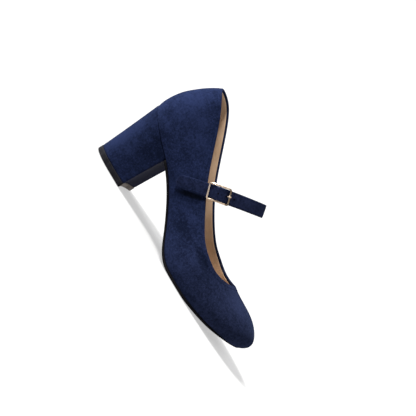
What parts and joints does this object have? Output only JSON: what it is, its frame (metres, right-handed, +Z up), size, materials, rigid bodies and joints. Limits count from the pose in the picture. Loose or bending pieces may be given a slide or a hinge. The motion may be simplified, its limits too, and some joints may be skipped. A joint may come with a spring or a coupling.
{
  "type": "block heel mary jane shoe",
  "caption": "Right-foot mary jane shoe with a suede upper, a covered block heel, a thin sole and a buckled instep strap; it stands empty and is open to take a foot.",
  "frame": {"origin": "middle of the heel's floor face", "axes": "+X towards the toe, +Y towards the inner side of the foot, +Z up from the floor"},
  "size_m": [0.2319, 0.0779, 0.1275],
  "materials": {
    "navy_suede": "napped",
    "black_sole": "satin",
    "lift_rubber": "matte",
    "beige_lining": "smooth",
    "pale_gold": "polished"
  },
  "bodies": {
    "root": {"upper": "navy_suede", "outsole": "black_sole", "heel": "navy_suede", "top_lift": "lift_rubber", "insole": "beige_lining", "strap": "navy_suede", "buckle_tab": "navy_suede", "buckle": "pale_gold", "prong": "pale_gold"}
  },
  "joints": []
}
